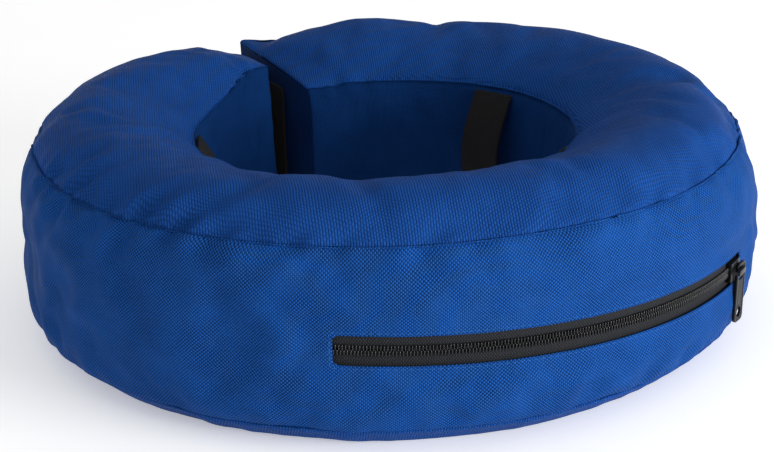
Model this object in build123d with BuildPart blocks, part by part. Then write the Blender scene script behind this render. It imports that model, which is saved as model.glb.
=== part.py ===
from build123d import *
import os
from math import cos, radians, sin

# An inflatable recovery collar for a pet: a C-shaped air bladder inside a zipped
# fabric cover. Millimetres and degrees. The origin is at the middle of the ring, on
# the surface it rests on, with +Z up. Azimuths turn from +X towards +Y: the zip is
# centred on -Y (-90) and the ring is split at +Y (90).

# The section of the ring: radius and height of its four seams and of its crowns
OUTER_TOP_RADIUS = 185.0
OUTER_TOP_HEIGHT = 98.2
INNER_TOP_RADIUS = 99.5
INNER_TOP_HEIGHT = 91.5
OUTER_BOTTOM_RADIUS = 188.7
INNER_BOTTOM_RADIUS = 100.0
BOTTOM_SEAM_HEIGHT = 9.0
TOP_CROWN_RADIUS = 142.0
TOP_CROWN_HEIGHT = 113.6
OUTER_BULGE_RADIUS = 191.2
INNER_BULGE_RADIUS = 93.5
MIDDLE_HEIGHT = 53.6
FLAT_INNER_RADIUS = 124.0
FLAT_OUTER_RADIUS = 166.0

# The three spans of the ring, which bend where they meet, and the split at the back
FRONT_AZIMUTH = -90.0
SPLIT_AZIMUTH = 90.0
HINGE_ANGLE = 52.5
SPAN_CLEARANCE = 0.1
FRONT_START = FRONT_AZIMUTH - HINGE_ANGLE + SPAN_CLEARANCE
FRONT_SWEEP = 2 * (HINGE_ANGLE - SPAN_CLEARANCE)
ARM_SWEEP = 180 - HINGE_ANGLE - SPAN_CLEARANCE
RIGHT_START = FRONT_AZIMUTH + HINGE_ANGLE + SPAN_CLEARANCE
LEFT_START = SPLIT_AZIMUTH
END_OVERRUN = 4.0
RIGHT_END_OUTSIDE = (-6.5, 191.2)
RIGHT_END_INSIDE = (1.0, 93.5)
LEFT_END_OUTSIDE = (-8.5, 191.2)
LEFT_END_INSIDE = (-18.0, 93.5)
END_STUB_SWEEP = 24.0

# Cover, bladder and the strips of hook and loop on the end faces
FABRIC = 1.0
BLADDER_INSET = 1.6
BLADDER_WALL = 0.5
BLADDER_END_WALL_ANGLE = 0.3
BLADDER_FRONT_BULGE_RADIUS = 186.6
PATCH_WIDTH = 42.0
PATCH_HEIGHT = 62.0
PATCH_THICKNESS = 1.2
PATCH_RADIUS = 150.0
PATCH_CORNER = 4.0

# Loops of webbing on the inner wall
WEBBING_WIDTH = 25.0
WEBBING_THICKNESS = 1.6
LOOP_END_RADIUS = 96.2
LOOP_BOW_RADIUS = 83.2
LOOP_SHOULDER = 3.0
LOOP_SHOULDER_DROP = 17.0
LOOP_TOP_HEIGHT = 88.0
LOOP_BOTTOM_HEIGHT = 13.0
LOOP_AZIMUTHS = {
    "front_left": -127.75,
    "front_right": -52.25,
    "rear_left": 157.0,
    "rear_right": 23.0,
}

# The zip runs round the outer wall in a plane that leans down a little to the right
ZIP_HEIGHT = 49.3
ZIP_LEAN = 1.6
WINDOW_HALF_ANGLE = 36.0
WINDOW_HEIGHT = 14.0
WINDOW_CUT_DEPTH = 10.0
TAPE_HALF_ANGLE = 39.0
TAPE_RADIUS = 188.4
TAPE_THICKNESS = 0.8
TAPE_WIDTH = 12.4
COIL_THICKNESS = 1.6
COIL_WIDTH = 2.3
COIL_GAP = 1.2
COIL_HALF_ANGLE = 35.2
STOP_SWEEP = 0.6

# Slider and pull, measured from the crown's closing-side post
RUNNING_CLEARANCE = 0.3
POST_AZIMUTH = -55.6
POST_WIDTH = 1.5
POST_SPACING = 8.0
SLIDER_PLATE = 1.2
SLIDER_INNER_PLATE = 0.9
SLIDER_WIDTH = 9.6
SLIDER_FLANGE = 1.6
SLIDER_OVERHANG = 1.8
SLIDER_WEDGE_LENGTH = 3.0
POST_ROOT = 0.2
CROWN_HOLE = 2.4
CROWN_BAR = 1.4
CROWN_BAR_WIDTH = 2.5
CROWN_BAR_CORNER = 1.0
PULL_WIDTH = 9.0
PULL_THICKNESS = 1.6
PULL_TOP = 3.3
PULL_LENGTH = 34.0
PULL_CORNER = 2.0
PULL_EYE = (4.6, 6.5)
PULL_EYE_TOP = 1.1
PULL_EYE_CORNER = 0.8
PULL_TAIL_HOLE = (4.6, 9.0)
PULL_TAIL_MARGIN = 2.2

# Inflation valve, sunk in a pocket of the bladder behind the zip
VALVE_AZIMUTH = -100.0
VALVE_HEIGHT = 52.0
POCKET_RADIUS = 17.0
POCKET_FLOOR_RADIUS = 166.0
VALVE_FLANGE_RADIUS = 12.0
VALVE_FLANGE_THICKNESS = 1.0
STEM_RADIUS = 5.0
STEM_BORE_RADIUS = 3.2
STEM_LENGTH = 9.0
PLUG_RADIUS = 3.15
PLUG_CAP_RADIUS = 6.5
PLUG_CAP_THICKNESS = 1.6
PLUG_SHANK = 7.0
PLUG_CHAMFER = 0.6


def save(piece, name):
    """Label a finished piece and write it as its own file."""
    piece.part.label = name
    export_step(piece.part, f"parts/{name}.step")


def section_plane(azimuth, lean=0.0, height=0.0):
    """Upright plane through the ring's axis: its X runs outwards and its Y up."""
    up = Vector(sin(radians(lean)), 0, cos(radians(lean)))
    level = Vector(cos(radians(lean)), 0, -sin(radians(lean)))
    outwards = level.rotate(Axis((0, 0, 0), up), azimuth)
    return Plane(origin=(0, 0, height), x_dir=outwards, z_dir=outwards.cross(up))


def wall_plane(azimuth, radius, height, lean=0.0):
    """Plane facing outwards from the ring: its X runs anticlockwise and its Y up."""
    section = section_plane(azimuth, lean, height)
    return Plane(
        origin=section.origin + section.x_dir * radius,
        x_dir=-section.z_dir,
        z_dir=section.x_dir,
    )


# ---- The section's four sides, at a depth below the outside of the cover ----


def outer_top(inset):
    return (OUTER_TOP_RADIUS - inset, OUTER_TOP_HEIGHT - inset)


def inner_top(inset):
    return (INNER_TOP_RADIUS + inset, INNER_TOP_HEIGHT - inset)


def outer_bottom(inset):
    return (OUTER_BOTTOM_RADIUS - inset, BOTTOM_SEAM_HEIGHT + inset)


def inner_bottom(inset):
    return (INNER_BOTTOM_RADIUS + inset, BOTTOM_SEAM_HEIGHT + inset)


def top_side(inset):
    """Crowned top, from the outer seam to the inner one."""
    crown = (TOP_CROWN_RADIUS, TOP_CROWN_HEIGHT - inset)
    arc = ThreePointArc(outer_top(inset), crown, inner_top(inset))
    return arc @ 0, arc @ 1


def inner_side(inset):
    """Wall of the neck opening, from its top seam down to its bottom one."""
    bulge = (INNER_BULGE_RADIUS + inset, MIDDLE_HEIGHT)
    arc = ThreePointArc(inner_top(inset), bulge, inner_bottom(inset))
    return arc @ 0, arc @ 1


def bottom_side(inset):
    """Bottom, pressed flat by the collar's weight, from the inner seam to the outer."""
    flat = Line((FLAT_INNER_RADIUS, inset), (FLAT_OUTER_RADIUS, inset))
    inner = TangentArc(flat @ 0, inner_bottom(inset), tangent=(-1, 0))
    outer = TangentArc(flat @ 1, outer_bottom(inset), tangent=(1, 0))
    return inner @ 1, outer @ 1


def outer_side(inset, bulge_radius=None):
    """Outer wall, from its bottom seam up to its top one."""
    bulge = (bulge_radius or OUTER_BULGE_RADIUS - inset, MIDDLE_HEIGHT)
    arc = ThreePointArc(outer_bottom(inset), bulge, outer_top(inset))
    return arc @ 0, arc @ 1


# ---- The split: one plane for each end face, pointing into its arm ----


def end_plane(outside, inside, side):
    """Upright plane through two points, facing +X (side 1) or -X (side -1)."""
    run = Vector(*outside) - Vector(*inside)
    facing = Vector(run.Y, -run.X, 0) * side
    return Plane(origin=outside, z_dir=facing)


RIGHT_END = end_plane(RIGHT_END_OUTSIDE, RIGHT_END_INSIDE, 1)
LEFT_END = end_plane(LEFT_END_OUTSIDE, LEFT_END_INSIDE, -1)
SPANS = {
    "front": (FRONT_START, FRONT_SWEEP, None),
    "left": (LEFT_START, ARM_SWEEP, LEFT_END),
    "right": (RIGHT_START, ARM_SWEEP + END_OVERRUN, RIGHT_END),
}


def make_panel(side, start, sweep, end):
    """One sheet of the cover over one span of the ring."""
    with BuildPart() as panel:
        with BuildSketch(section_plane(start)):
            with BuildLine():
                outside = side(0)
                inside = side(FABRIC)
                Line(outside[0], inside[0])
                Line(outside[1], inside[1])
            make_face()
        revolve(axis=Axis.Z, revolution_arc=sweep)
        if end:
            split(bisect_by=end, keep=Keep.TOP)
    return panel


def make_core(inset, start, sweep, end, bulge_radius=None):
    """Solid filling of a span, that far below the outside of the cover."""
    with BuildPart() as core:
        with BuildSketch(section_plane(start)):
            with BuildLine():
                top_side(inset)
                inner_side(inset)
                bottom_side(inset)
                outer_side(inset, bulge_radius)
            make_face()
        revolve(axis=Axis.Z, revolution_arc=sweep)
        if end:
            split(bisect_by=end, keep=Keep.TOP)
    return core


def make_end_panel(start, end):
    """Flat sheet that closes one end of the cover."""
    stub = make_core(FABRIC, start, END_STUB_SWEEP, end)
    with BuildPart() as sheet:
        add(stub.part)
        split(bisect_by=end.offset(FABRIC), keep=Keep.BOTTOM)
    return sheet


def make_patch(end):
    """Strip of hook or loop tape on an end face."""
    outwards = Vector(end.z_dir.Y, -end.z_dir.X, 0)
    if outwards.Y < 0:
        outwards = -outwards
    middle = end.origin + outwards * (PATCH_RADIUS - end.origin.Y)
    face = Plane(
        origin=middle + Vector(0, 0, MIDDLE_HEIGHT),
        x_dir=outwards,
        z_dir=-end.z_dir,
    )
    with BuildPart() as patch:
        with BuildSketch(face):
            RectangleRounded(PATCH_WIDTH, PATCH_HEIGHT, radius=PATCH_CORNER)
        extrude(amount=PATCH_THICKNESS)
    return patch


# ---- Collar loops ----


def webbing_line(depth):
    """Bowed run of webbing from the top seam to the bottom one, and its two ends."""
    end_radius = LOOP_END_RADIUS - depth
    bow_radius = LOOP_BOW_RADIUS - depth
    shoulder_radius = bow_radius + LOOP_SHOULDER
    run = Spline(
        (end_radius, LOOP_TOP_HEIGHT),
        (shoulder_radius, LOOP_TOP_HEIGHT - LOOP_SHOULDER_DROP),
        (bow_radius, MIDDLE_HEIGHT),
        (shoulder_radius, LOOP_BOTTOM_HEIGHT + LOOP_SHOULDER_DROP),
        (end_radius, LOOP_BOTTOM_HEIGHT),
    )
    return run @ 0, run @ 1


def make_loop(azimuth):
    """Flat webbing sewn in at the top and bottom seams, standing off in between."""
    with BuildPart() as loop:
        with BuildSketch(section_plane(azimuth)):
            with BuildLine():
                wall_side = webbing_line(0)
                neck_side = webbing_line(WEBBING_THICKNESS)
                Line(wall_side[0], neck_side[0])
                Line(wall_side[1], neck_side[1])
            make_face()
        extrude(amount=WEBBING_WIDTH / 2, both=True)
    return loop


# ---- Zip ----

ZIP_AXIS = Axis(
    (0, 0, ZIP_HEIGHT), (sin(radians(ZIP_LEAN)), 0, cos(radians(ZIP_LEAN)))
)
COIL_RADIUS = TAPE_RADIUS + TAPE_THICKNESS


def make_zip_strip(radius, thickness, low, high, start, sweep):
    """Strip running along the zip, between two heights above its centre line."""
    with BuildPart() as strip:
        with BuildSketch(section_plane(start, ZIP_LEAN, ZIP_HEIGHT)):
            with Locations((radius + thickness / 2, (low + high) / 2)):
                Rectangle(thickness, high - low)
        revolve(axis=ZIP_AXIS, revolution_arc=sweep)
    return strip


def make_zip_half(radius, thickness, width, half_angle, side):
    """Tape or coil of the upper (side 1) or lower (side -1) half of the zip."""
    near = side * COIL_GAP / 2
    far = side * (COIL_GAP / 2 + width)
    start = FRONT_AZIMUTH - half_angle
    return make_zip_strip(
        radius, thickness, min(near, far), max(near, far), start, 2 * half_angle
    )


def cut_window(panel):
    """Outer panel with the slot that the zip closes."""
    slot = make_zip_strip(
        TAPE_RADIUS,
        WINDOW_CUT_DEPTH,
        -WINDOW_HEIGHT / 2,
        WINDOW_HEIGHT / 2,
        FRONT_AZIMUTH - WINDOW_HALF_ANGLE,
        2 * WINDOW_HALF_ANGLE,
    )
    with BuildPart() as windowed:
        add(panel.part)
        add(slot.part, mode=Mode.SUBTRACT)
    return windowed


def make_slider():
    """Two plates joined through the gap between the coils, with a crown outside."""
    degree = radians(1) * COIL_RADIUS
    start = POST_AZIMUTH - (POST_SPACING + SLIDER_OVERHANG) / degree
    sweep = (POST_SPACING + 2 * SLIDER_OVERHANG) / degree
    half_width = SLIDER_WIDTH / 2
    inner_face = TAPE_RADIUS - RUNNING_CLEARANCE
    coil_face = COIL_RADIUS + COIL_THICKNESS + RUNNING_CLEARANCE
    flange_face = COIL_RADIUS + RUNNING_CLEARANCE
    flange_edge = half_width - SLIDER_FLANGE
    wedge_width = COIL_GAP - 2 * RUNNING_CLEARANCE
    wedge_height = coil_face - inner_face
    crown_floor = coil_face + SLIDER_PLATE

    def bar(radius, thickness, low, high, first=start, angle=sweep):
        strip = make_zip_strip(radius, thickness, low, high, first, angle)
        return strip.part

    plates = [
        bar(coil_face, SLIDER_PLATE, -half_width, half_width),
        bar(inner_face - SLIDER_INNER_PLATE, SLIDER_INNER_PLATE, -half_width, half_width),
        bar(flange_face, coil_face - flange_face, flange_edge, half_width),
        bar(flange_face, coil_face - flange_face, -half_width, -flange_edge),
        bar(
            inner_face,
            wedge_height,
            -wedge_width / 2,
            wedge_width / 2,
            angle=SLIDER_WEDGE_LENGTH / degree,
        ),
    ]
    post_plane = wall_plane(POST_AZIMUTH, crown_floor - POST_ROOT, ZIP_HEIGHT, ZIP_LEAN)
    with BuildPart() as slider:
        for plate in plates:
            add(plate)
        with BuildSketch(post_plane):
            with Locations((0, 0), (-POST_SPACING, 0)):
                Rectangle(POST_WIDTH, POST_WIDTH)
        extrude(amount=CROWN_HOLE + POST_ROOT)
        with BuildSketch(post_plane.offset(CROWN_HOLE + POST_ROOT)):
            with Locations((-POST_SPACING / 2, 0)):
                RectangleRounded(
                    POST_SPACING + POST_WIDTH, CROWN_BAR_WIDTH, radius=CROWN_BAR_CORNER
                )
        extrude(amount=CROWN_BAR)
    return slider


def make_pull():
    """Pull tab: its eye goes round the slider's closing-side post."""
    crown_floor = COIL_RADIUS + COIL_THICKNESS + RUNNING_CLEARANCE + SLIDER_PLATE
    back = crown_floor + (CROWN_HOLE - PULL_THICKNESS) / 2
    eye_centre = PULL_EYE_TOP - PULL_EYE[1] / 2
    tail = PULL_TOP - PULL_LENGTH
    with BuildPart() as pull:
        with BuildSketch(wall_plane(POST_AZIMUTH, back, ZIP_HEIGHT, ZIP_LEAN)):
            with Locations((0, (PULL_TOP + tail) / 2)):
                RectangleRounded(PULL_WIDTH, PULL_LENGTH, radius=PULL_CORNER)
            with Locations((0, eye_centre)):
                RectangleRounded(*PULL_EYE, radius=PULL_EYE_CORNER, mode=Mode.SUBTRACT)
            with Locations((0, tail + PULL_TAIL_HOLE[1] / 2 + PULL_TAIL_MARGIN)):
                SlotOverall(
                    PULL_TAIL_HOLE[1], PULL_TAIL_HOLE[0], rotation=90, mode=Mode.SUBTRACT
                )
        extrude(amount=PULL_THICKNESS)
    return pull


# ---- Bladder and valve ----


def make_bladder(start, sweep, end, bulge_radius=None):
    """Outer skin of one sealed third of the bladder, and the air space inside it."""
    air_inset = BLADDER_INSET + BLADDER_WALL
    skin_end = end.offset(BLADDER_INSET) if end else None
    air_end = end.offset(air_inset) if end else None
    start_wall = 0 if end is LEFT_END else BLADDER_END_WALL_ANGLE
    stop_wall = 0 if end is RIGHT_END else BLADDER_END_WALL_ANGLE
    air_bulge = bulge_radius - BLADDER_WALL if bulge_radius else None
    skin = make_core(BLADDER_INSET, start, sweep, skin_end, bulge_radius)
    air = make_core(
        air_inset, start + start_wall, sweep - start_wall - stop_wall, air_end, air_bulge
    )
    return skin, air


def make_shell(skin, air):
    """Hollow, airtight skin round its air space."""
    with BuildPart() as shell:
        add(skin.part)
        add(air.part, mode=Mode.SUBTRACT)
    return shell


def sink_pocket(solid, radius, floor):
    """Recess in the front of the bladder for the valve, opening outwards."""
    depth = OUTER_BULGE_RADIUS - floor
    with BuildPart() as sunk:
        add(solid.part)
        with BuildSketch(wall_plane(VALVE_AZIMUTH, floor, VALVE_HEIGHT)):
            Circle(radius)
        extrude(amount=depth, mode=Mode.SUBTRACT)
    return sunk


def make_valve_body():
    """Flange welded to the pocket's floor, with the tube that is blown into."""
    with BuildPart() as valve:
        with BuildSketch(wall_plane(VALVE_AZIMUTH, POCKET_FLOOR_RADIUS, VALVE_HEIGHT)):
            Circle(VALVE_FLANGE_RADIUS)
            Circle(STEM_BORE_RADIUS, mode=Mode.SUBTRACT)
        extrude(amount=VALVE_FLANGE_THICKNESS)
        with BuildSketch(wall_plane(VALVE_AZIMUTH, POCKET_FLOOR_RADIUS, VALVE_HEIGHT)):
            Circle(STEM_RADIUS)
            Circle(STEM_BORE_RADIUS, mode=Mode.SUBTRACT)
        extrude(amount=STEM_LENGTH)
    return valve


def make_valve_plug():
    """Stopper with a cap to grip."""
    mouth = wall_plane(VALVE_AZIMUTH, POCKET_FLOOR_RADIUS + STEM_LENGTH, VALVE_HEIGHT)
    with BuildPart() as plug:
        with BuildSketch(mouth):
            Circle(PLUG_CAP_RADIUS)
        extrude(amount=PLUG_CAP_THICKNESS)
        with BuildSketch(mouth):
            Circle(PLUG_RADIUS)
        extrude(amount=-PLUG_SHANK)
        tip = plug.faces().sort_by(Axis(mouth.origin, mouth.z_dir))[0]
        chamfer(tip.edges(), PLUG_CHAMFER)
    return plug


os.makedirs("parts", exist_ok=True)

SIDES = {
    "cover_top": top_side,
    "cover_bottom": bottom_side,
    "cover_outer": outer_side,
    "cover_inner": inner_side,
}
for side_name, side in SIDES.items():
    for span_name, (start, sweep, end) in SPANS.items():
        panel = make_panel(side, start, sweep, end)
        if side_name == "cover_outer" and span_name == "front":
            panel = cut_window(panel)
        save(panel, f"{side_name}_{span_name}")

save(make_end_panel(LEFT_START, LEFT_END), "end_panel_left")
save(
    make_end_panel(SPLIT_AZIMUTH + END_OVERRUN - END_STUB_SWEEP, RIGHT_END),
    "end_panel_right",
)
save(make_patch(LEFT_END), "loop_patch")
save(make_patch(RIGHT_END), "hook_patch")

for loop_name, azimuth in LOOP_AZIMUTHS.items():
    save(make_loop(azimuth), f"collar_loop_{loop_name}")

for half_name, side in {"upper": 1, "lower": -1}.items():
    tape = make_zip_half(
        TAPE_RADIUS, TAPE_THICKNESS, TAPE_WIDTH, TAPE_HALF_ANGLE, side
    )
    coil = make_zip_half(
        COIL_RADIUS, COIL_THICKNESS, COIL_WIDTH, COIL_HALF_ANGLE, side
    )
    save(tape, f"zip_tape_{half_name}")
    save(coil, f"zip_coil_{half_name}")

for stop_name, side in {"open": -1, "closed": 1}.items():
    stop = make_zip_strip(
        COIL_RADIUS,
        COIL_THICKNESS,
        -COIL_GAP / 2 - COIL_WIDTH,
        COIL_GAP / 2 + COIL_WIDTH,
        FRONT_AZIMUTH + side * (COIL_HALF_ANGLE + STOP_SWEEP / 2) - STOP_SWEEP / 2,
        STOP_SWEEP,
    )
    save(stop, f"zip_stop_{stop_name}")

save(make_slider(), "zip_slider")
save(make_pull(), "zip_pull")

for span_name, (start, sweep, end) in SPANS.items():
    if span_name == "front":
        skin, air = make_bladder(start, sweep, end, BLADDER_FRONT_BULGE_RADIUS)
        skin = sink_pocket(skin, POCKET_RADIUS, POCKET_FLOOR_RADIUS)
        air = sink_pocket(
            air, POCKET_RADIUS + BLADDER_WALL, POCKET_FLOOR_RADIUS - BLADDER_WALL
        )
    else:
        skin, air = make_bladder(start, sweep, end)
    save(make_shell(skin, air), f"bladder_{span_name}")

save(make_valve_body(), "valve_body")
save(make_valve_plug(), "valve_plug")
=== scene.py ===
from math import cos, pi, radians, sin, tan

import bmesh
import bpy
import numpy as np
from mathutils import Matrix, Vector


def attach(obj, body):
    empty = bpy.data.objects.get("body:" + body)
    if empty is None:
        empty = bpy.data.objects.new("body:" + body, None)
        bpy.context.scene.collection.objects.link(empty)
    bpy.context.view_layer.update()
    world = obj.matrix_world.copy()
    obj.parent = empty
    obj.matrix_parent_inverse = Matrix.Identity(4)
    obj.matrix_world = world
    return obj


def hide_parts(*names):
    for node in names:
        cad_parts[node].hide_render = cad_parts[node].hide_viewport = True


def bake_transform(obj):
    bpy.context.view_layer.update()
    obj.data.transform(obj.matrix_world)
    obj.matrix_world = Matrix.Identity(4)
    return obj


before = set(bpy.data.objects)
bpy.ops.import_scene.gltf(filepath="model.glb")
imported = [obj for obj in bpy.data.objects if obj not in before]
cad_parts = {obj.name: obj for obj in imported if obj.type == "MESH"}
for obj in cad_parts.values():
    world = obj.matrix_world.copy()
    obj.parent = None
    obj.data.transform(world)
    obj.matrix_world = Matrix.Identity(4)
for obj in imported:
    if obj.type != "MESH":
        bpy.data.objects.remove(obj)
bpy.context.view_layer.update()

# An inflatable recovery collar: a C-shaped tube of air in a zipped fabric cover.
# Shapes are worked out in millimetres and degrees and made in metres. Azimuths turn
# from +X towards +Y; along the tube they run from -270, the left end, to 90, the right.
MM = 0.001
rng = np.random.default_rng(7)

# The tube's section: radius and height of its seams and of its crowns
OUTER_TOP = (185.0, 98.2)
INNER_TOP = (99.5, 91.5)
OUTER_BOTTOM = (188.7, 9.0)
INNER_BOTTOM = (100.0, 9.0)
CROWN_HEIGHT = 113.6
OUTER_BULGE = 191.2
INNER_BULGE = 93.5
MIDDLE_HEIGHT = 53.6
FLAT_BAND = (124.0, 166.0)
MEAN_RADIUS = 142.0

# The split at the back: each end face is a plane through two (x, y) points
LEFT_END, RIGHT_END = -270.0, 90.0
LEFT_FACE = ((-8.5, 191.2), (-18.0, 93.5))
RIGHT_FACE = ((-6.5, 191.2), (1.0, 93.5))
LEFT_ROLL, RIGHT_ROLL, EDGE_ROLL = 40.0, 62.0, 24.0
END_REACH = 90.0
HINGE_ANGLE = 52.5
HINGE_RADIUS = 191.6

# Zip window
ZIP_HEIGHT = 49.3
ZIP_LEAN = 1.6
WINDOW = (-124.8, -54.0)
WINDOW_HEIGHT = 14.0
ZIP_FRONT = -90.0
COIL_RADIUS = 189.2
TAPE_MIDDLE = 188.8
COIL_HALF_ANGLE = 35.2
TOOTH_PITCH = 1.5
POST_AZIMUTH = -55.6


def smooth(t):
    """0 to 1 with flat ends."""
    t = np.clip(t, 0, 1)
    return t * t * (3 - 2 * t)


# ---------------------------------------------------------------- tube shape


def end_distance(azimuth):
    """Distance along the middle of the tube from its left and from its right end."""
    per_degree = radians(1) * MEAN_RADIUS
    return (azimuth - LEFT_END) * per_degree, (RIGHT_END - azimuth) * per_degree


def curve(azimuth, *points):
    """Smooth line through (azimuth, value) points."""
    at, value = np.array(points, float).T
    slope = np.zeros(len(at))
    slope[1:-1] = (value[2:] - value[:-2]) / (at[2:] - at[:-2])
    i = np.clip(np.searchsorted(at, azimuth) - 1, 0, len(at) - 2)
    width = at[i + 1] - at[i]
    t = (azimuth - at[i]) / width
    first = (1 + 2 * t) * (1 - t) ** 2 * value[i] + t * (1 - t) ** 2 * width * slope[i]
    second = t**2 * (3 - 2 * t) * value[i + 1] + t**2 * (t - 1) * width * slope[i + 1]
    return first + second


def corners(azimuth):
    """Radius and height of the four seams, which wander a little and lift at the split."""
    a = azimuth
    wander = np.sin(np.radians(3 * a + 40)) + 0.6 * np.sin(np.radians(7 * a))
    outer_top = (
        OUTER_TOP[0] + 0.3 * wander,
        OUTER_TOP[1] + 0.5 * wander
        + curve(a, (-270, -3.0), (-235, 0), (-200, 0), (40, 0), (65, 0.5), (90, 5.0)),
    )
    inner_top = (
        INNER_TOP[0]
        + curve(a, (-270, 18.5), (-262, 17), (-254, 11), (-244, 6.5), (-228, 4), (-214, 3.2),
                (-198, 1), (-185, 0), (60, 0), (90, 0)),
        INNER_TOP[1] + 0.4 * wander
        + curve(a, (-270, 12), (-262, 11.4), (-254, 9.5), (-244, 5.5), (-228, 1.5), (-214, 0),
                (-198, 0), (60, 0), (90, 0)),
    )
    outer_bottom = (OUTER_BOTTOM[0] - 0.3 * wander, OUTER_BOTTOM[1] + 0 * a)
    inner_bottom = (
        INNER_BOTTOM[0] + curve(a, (-270, 7), (-225, 1), (-190, 0), (90, 0)),
        INNER_BOTTOM[1] + 0 * a,
    )
    return outer_top, inner_top, outer_bottom, inner_bottom


def bow(start, middle, stop, fullness, t):
    """Parabola through three (radius, height) points; fullness 0 makes it straight."""
    radius = start[0] + (stop[0] - start[0]) * t
    height = start[1] + (stop[1] - start[1]) * t
    lift = 4 * t * (1 - t) * fullness
    radius = radius + lift * (middle[0] - (start[0] + stop[0]) / 2)
    height = height + lift * (middle[1] - (start[1] + stop[1]) / 2)
    return radius, height


def spaced(length, count, near=(0.0, 0.7, 1.5, 2.7, 4.4)):
    """Shares of a side at which its rows lie, closer together near its two seams."""
    inner = np.linspace(near[-1], length - near[-1], count - 2 * len(near) + 2)[1:-1]
    rows = np.concatenate([near, inner, length - np.array(near)[::-1]])
    return rows / length


TOP_ROWS = spaced(88, 46)
WALL_ROWS = spaced(89, 52)


def window_middle(azimuth):
    """Height of the middle of the leaning zip window."""
    return ZIP_HEIGHT - OUTER_BULGE * np.cos(np.radians(azimuth)) * tan(radians(ZIP_LEAN))


def window_edges(azimuth):
    """Heights of the zip window's lower and upper edges."""
    middle = window_middle(azimuth)
    return middle - WINDOW_HEIGHT / 2, middle + WINDOW_HEIGHT / 2


WINDOW_LOW_ROW, WINDOW_HIGH_ROW = 22, 30


def outer_shares(azimuth):
    """Rows of the outer wall, upwards, with two of them along the window's edges."""
    low, high = window_edges(azimuth)
    span = OUTER_TOP[1] - OUTER_BOTTOM[1]
    low = (low - OUTER_BOTTOM[1]) / span
    high = (high - OUTER_BOTTOM[1]) / span
    rows = WALL_ROWS[:, None]
    base_low, base_high = rows[WINDOW_LOW_ROW], rows[WINDOW_HIGH_ROW]
    below = rows * low / base_low
    between = low + (rows - base_low) / (base_high - base_low) * (high - low)
    above = 1 - (1 - rows) * (1 - high) / (1 - base_high)
    return np.where(rows < base_low, below, np.where(rows > base_high, above, between))


def section(azimuth, inset=0.0):
    """Radius and height of every row round the tube at each azimuth, (rows, columns).

    Rows go over the top, down the neck wall, out along the bottom and up the outer wall.
    """
    a = azimuth[None, :]
    left, right = end_distance(a)
    roll = np.clip(np.minimum(left, right) / EDGE_ROLL, 0, 1)
    full = np.sqrt(1 - (1 - roll) ** 2)
    crown_roll = np.clip(np.minimum(left / LEFT_ROLL, right / RIGHT_ROLL), 0, 1)
    crown_full = np.sin(crown_roll * pi / 2)
    outer_top, inner_top, outer_bottom, inner_bottom = corners(a)
    crown = (MEAN_RADIUS, CROWN_HEIGHT)
    t = TOP_ROWS[:, None]
    top = bow(outer_top, crown, inner_top, crown_full, t)
    w = WALL_ROWS[:, None]
    inner_middle = (
        INNER_BULGE + curve(a, (-270, 14), (-250, 9), (-225, 4), (-192, 0), (-150, 0), (90, 0)),
        MIDDLE_HEIGHT,
    )
    inner = bow(inner_top, inner_middle, inner_bottom, full, w)
    # The bottom curves up from its flat band to the seams
    radius = inner_bottom[0] + (outer_bottom[0] - inner_bottom[0]) * t
    rise_in = np.clip((FLAT_BAND[0] - radius) / (FLAT_BAND[0] - INNER_BOTTOM[0]), 0, 1)
    rise_out = np.clip((radius - FLAT_BAND[1]) / (OUTER_BOTTOM[0] - FLAT_BAND[1]), 0, 1)
    bottom = (radius, OUTER_BOTTOM[1] * (rise_in**2 + rise_out**2) + 0 * a)
    outer = bow(outer_bottom, (OUTER_BULGE, MIDDLE_HEIGHT), outer_top, full, outer_shares(azimuth))
    sides = (top, inner, bottom, outer)
    radius, height = (np.concatenate([side[k][:-1] for side in sides]) for k in (0, 1))
    if inset:
        middle_radius = (OUTER_BULGE + INNER_BULGE) / 2
        middle_height = CROWN_HEIGHT / 2
        reach_r, reach_h = (OUTER_BULGE - INNER_BULGE) / 2, CROWN_HEIGHT / 2
        radius = middle_radius + (radius - middle_radius) * (1 - inset / reach_r)
        height = middle_height + (height - middle_height) * (1 - inset / reach_h)
    return radius, height


def face_turn(radius, face):
    """Degrees past the split at which an end face lies, at each radius."""
    (outer_x, outer_y), (inner_x, inner_y) = face
    x = inner_x + (outer_x - inner_x) * (radius - inner_y) / (outer_y - inner_y)
    return np.degrees(np.arcsin(-x / radius))


def to_space(azimuth, radius, height):
    """Points of the tube, with its end columns lying on the two end faces."""
    left, right = end_distance(azimuth[None, :])
    left_turn, right_turn = face_turn(radius, LEFT_FACE), face_turn(radius, RIGHT_FACE)
    turn = left_turn * (1 - smooth(left / END_REACH)) + right_turn * (1 - smooth(right / END_REACH))
    angle = np.radians(azimuth[None, :] + turn)
    return np.stack([radius * np.cos(angle), radius * np.sin(angle), height], axis=-1)


def outward(points):
    """Unit normals of a grid of points whose rows close round the tube."""
    across = np.roll(points, -1, axis=0) - np.roll(points, 1, axis=0)
    along = np.gradient(points, axis=1)
    normal = np.cross(along, across)
    return normal / np.linalg.norm(normal, axis=-1, keepdims=True)


TOP_SEAM_ROW = 0
INNER_SEAM_ROW = len(TOP_ROWS) - 1
INNER_FOOT_ROW = INNER_SEAM_ROW + len(WALL_ROWS) - 1
OUTER_FOOT_ROW = INNER_FOOT_ROW + len(TOP_ROWS) - 1
ROWS = OUTER_FOOT_ROW + len(WALL_ROWS) - 1
SEAM_ROWS = (TOP_SEAM_ROW, INNER_SEAM_ROW, INNER_FOOT_ROW, OUTER_FOOT_ROW)
# Distances of the closely spaced columns from each end
END_COLUMNS = (0.0, 0.7, 1.6, 2.9, 4.8, 7.5)


def thinned_rows(step):
    """Every so many rows, and the four seams."""
    return np.unique(np.concatenate([np.arange(0, ROWS, step), SEAM_ROWS]))


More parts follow.
